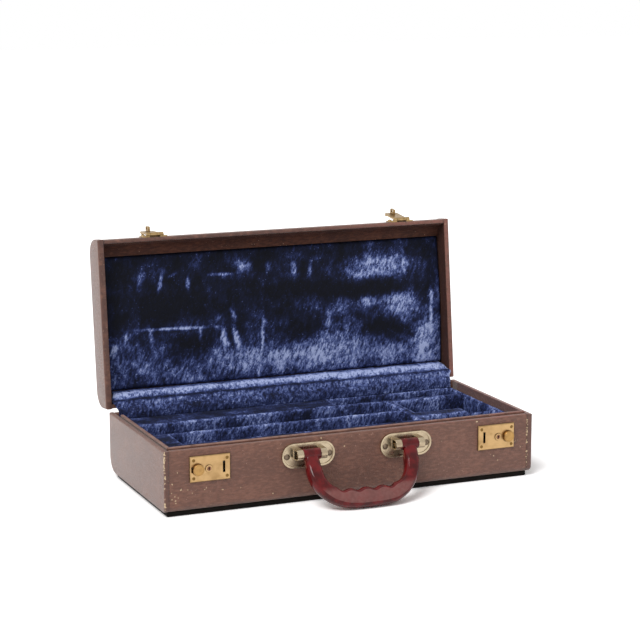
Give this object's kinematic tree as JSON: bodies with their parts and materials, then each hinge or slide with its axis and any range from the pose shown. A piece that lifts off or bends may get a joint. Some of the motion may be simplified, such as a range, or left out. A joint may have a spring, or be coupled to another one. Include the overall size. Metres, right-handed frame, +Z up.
{
  "type": "clarinet case",
  "caption": "Hard oblong instrument case with an open hinged lid, plush-lined wells, sliding-knob locks, hasps and a swinging handle.",
  "frame": {"origin": "a point of the base board's underside, on the plane the case stands on, below the middle of the case", "axes": "X along the case's length to the right, -Y toward its front with the locks and the handle, +Z up"},
  "size_m": [0.37, 0.2582, 0.2356],
  "materials": {
    "leatherette": "embossed paper leathercloth, satin, worn at the edges",
    "board": "raw bent plywood, glued",
    "black_board": "flat black painted board",
    "lip_cover": "thin leathercloth turned over a board lip, satin",
    "plush": "crushed navy silk plush",
    "brass": "stamped brass, aged lacquer",
    "bracket_metal": "pale stamped brass, dulled",
    "steel": "bright steel, dulled",
    "handle_plastic": "moulded burgundy plastic, glossy, worn matt on its lower face"
  },
  "bodies": {
    "tub": {"hinge_tub_screws": "steel", "lock_screws": "brass", "handle_rivets": "bracket_metal", "tub_shell": "board", "tub_covering": "leatherette", "base_board": "black_board", "tub_lip": "lip_cover", "lining_floor": "plush", "lining_left": "plush", "lining_rear": "plush", "lining_right": "plush", "hinge_cloth": "plush", "tub_end_left": "board", "tub_end_covering_left": "leatherette", "hinge_tub_leaf_left": "steel", "hinge_pin_left": "steel", "lock_plate_left": "brass", "lock_case_left": "steel", "lock_spring_left": "steel", "handle_bracket_left": "bracket_metal", "handle_pin_left": "steel", "tub_end_right": "board", "tub_end_covering_right": "leatherette", "hinge_tub_leaf_right": "steel", "hinge_pin_right": "steel", "lock_plate_right": "brass", "lock_case_right": "steel", "lock_spring_right": "steel", "handle_bracket_right": "bracket_metal", "handle_pin_right": "steel"},
    "lid": {"hinge_lid_screws": "steel", "hasp_rivets": "brass", "lid_shell": "board", "lid_covering": "leatherette", "lid_side_linings": "leatherette", "lid_cove": "leatherette", "lid_pad": "plush", "lid_end_left": "board", "lid_end_covering_left": "leatherette", "hinge_lid_leaf_left": "steel", "hasp_base_left": "brass", "hasp_pin_left": "steel", "lid_end_right": "board", "lid_end_covering_right": "leatherette", "hinge_lid_leaf_right": "steel", "hasp_base_right": "brass", "hasp_pin_right": "steel"},
    "hasp_left": {"hasp_leaf_left": "brass", "hasp_staple_left": "brass"},
    "hasp_right": {"hasp_leaf_right": "brass", "hasp_staple_right": "brass"},
    "knob_left": {"lock_knob_left": "brass"},
    "knob_right": {"lock_knob_right": "brass"},
    "tumbler_left": {"lock_tumbler_left": "brass"},
    "tumbler_right": {"lock_tumbler_right": "brass"},
    "handle": {"handle": "handle_plastic"}
  },
  "joints": [
    {"name": "lid_hinge", "type": "hinge", "parent": "tub", "child": "lid", "pos_m": [0, 0.0837, 0.0615], "axis": [1, 0, 0], "range_deg": [0, 96.2], "deforming": ["hinge_cloth"]},
    {"name": "hasp_left_hinge", "type": "hinge", "parent": "lid", "child": "hasp_left", "pos_m": [-0.1288, 0.10416, 0.22766], "axis": [1, 0, 0], "range_deg": [0, 176]},
    {"name": "hasp_right_hinge", "type": "hinge", "parent": "lid", "child": "hasp_right", "pos_m": [0.1338, 0.10416, 0.22766], "axis": [1, 0, 0], "range_deg": [-8, 168]},
    {"name": "knob_left_slide", "type": "slide", "parent": "tub", "child": "knob_left", "axis": [-1, 0, 0], "range_m": [0, 0.0035], "stiffness_N_per_m": 400, "springref_m": -0.003, "deforming": ["lock_spring_left"]},
    {"name": "tumbler_left_turn", "type": "hinge", "parent": "tub", "child": "tumbler_left", "pos_m": [-0.1433, -0.083, 0.0428], "axis": [0, -1, 0], "range_deg": [0, 90]},
    {"name": "knob_right_slide", "type": "slide", "parent": "tub", "child": "knob_right", "axis": [1, 0, 0], "range_m": [0, 0.0035], "stiffness_N_per_m": 400, "springref_m": -0.003, "deforming": ["lock_spring_right"]},
    {"name": "tumbler_right_turn", "type": "hinge", "parent": "tub", "child": "tumbler_right", "pos_m": [0.1483, -0.083, 0.0428], "axis": [0, -1, 0], "range_deg": [0, 90]},
    {"name": "handle_swing", "type": "hinge", "parent": "tub", "child": "handle", "pos_m": [0.0025, -0.089, 0.0475], "axis": [-1, 0, 0], "range_deg": [0, 130]}
  ]
}
